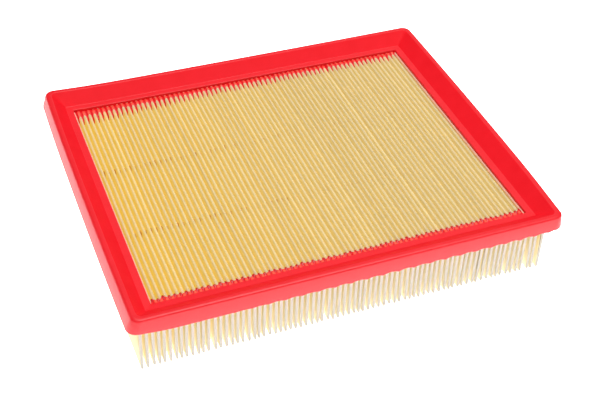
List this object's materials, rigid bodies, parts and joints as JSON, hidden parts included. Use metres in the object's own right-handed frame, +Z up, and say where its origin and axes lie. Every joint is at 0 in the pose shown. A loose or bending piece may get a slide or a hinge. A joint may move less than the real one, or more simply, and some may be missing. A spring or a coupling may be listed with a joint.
{
  "type": "panel air filter",
  "caption": "Rectangular panel air filter: a deep pleated paper pack cast into a soft polyurethane seal frame with a sloped rim and a flat land round the window.",
  "frame": {"origin": "under the middle of the filter, level with the bottom folds of the pleats it stands on", "axes": "+Z up towards the seal frame; X is the way the pleats stack and the longest side; Y is the way each pleat runs"},
  "size_m": [0.292, 0.244, 0.053],
  "materials": {
    "polyurethane_seal": "satin",
    "filter_paper": "matte",
    "hot_melt": "satin",
    "end_glue": "matte"
  },
  "bodies": {
    "root": {"seal_frame": "polyurethane_seal", "pleated_media": "filter_paper", "upper_bead_row_front": "hot_melt", "upper_bead_row_rear": "hot_melt", "lower_bead_row_front": "hot_melt", "lower_bead_row_rear": "hot_melt", "end_glue_front": "end_glue", "end_glue_rear": "end_glue"}
  },
  "joints": []
}
